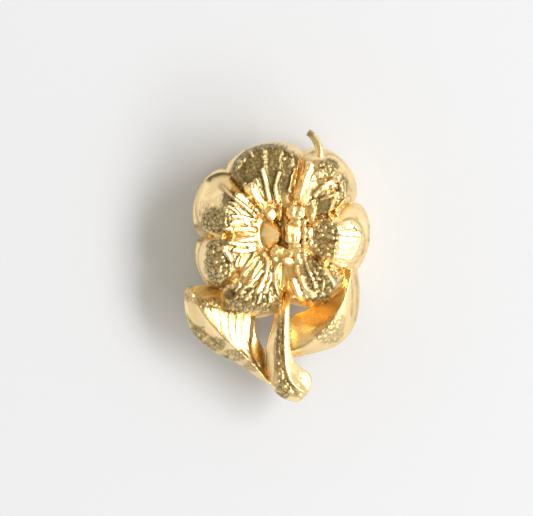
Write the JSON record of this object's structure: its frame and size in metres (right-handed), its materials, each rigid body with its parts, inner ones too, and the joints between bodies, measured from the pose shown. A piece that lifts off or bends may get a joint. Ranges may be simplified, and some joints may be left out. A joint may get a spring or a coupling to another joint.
{
  "type": "flower bead",
  "caption": "Cast metal bead in the form of a blossom on a stem with leaves, drilled from side to side for a thread.",
  "frame": {"origin": "on the axis of the thread hole, at the middle of the blossom", "axes": "+X along the thread hole, +Y from the stem towards the blossom, +Z out of the relief front"},
  "size_m": [0.0108, 0.0158, 0.0049],
  "materials": {
    "gold": "gold-plated casting, polished, with a fine cast grain"
  },
  "bodies": {
    "root": {"flower_bead": "gold"}
  },
  "joints": []
}
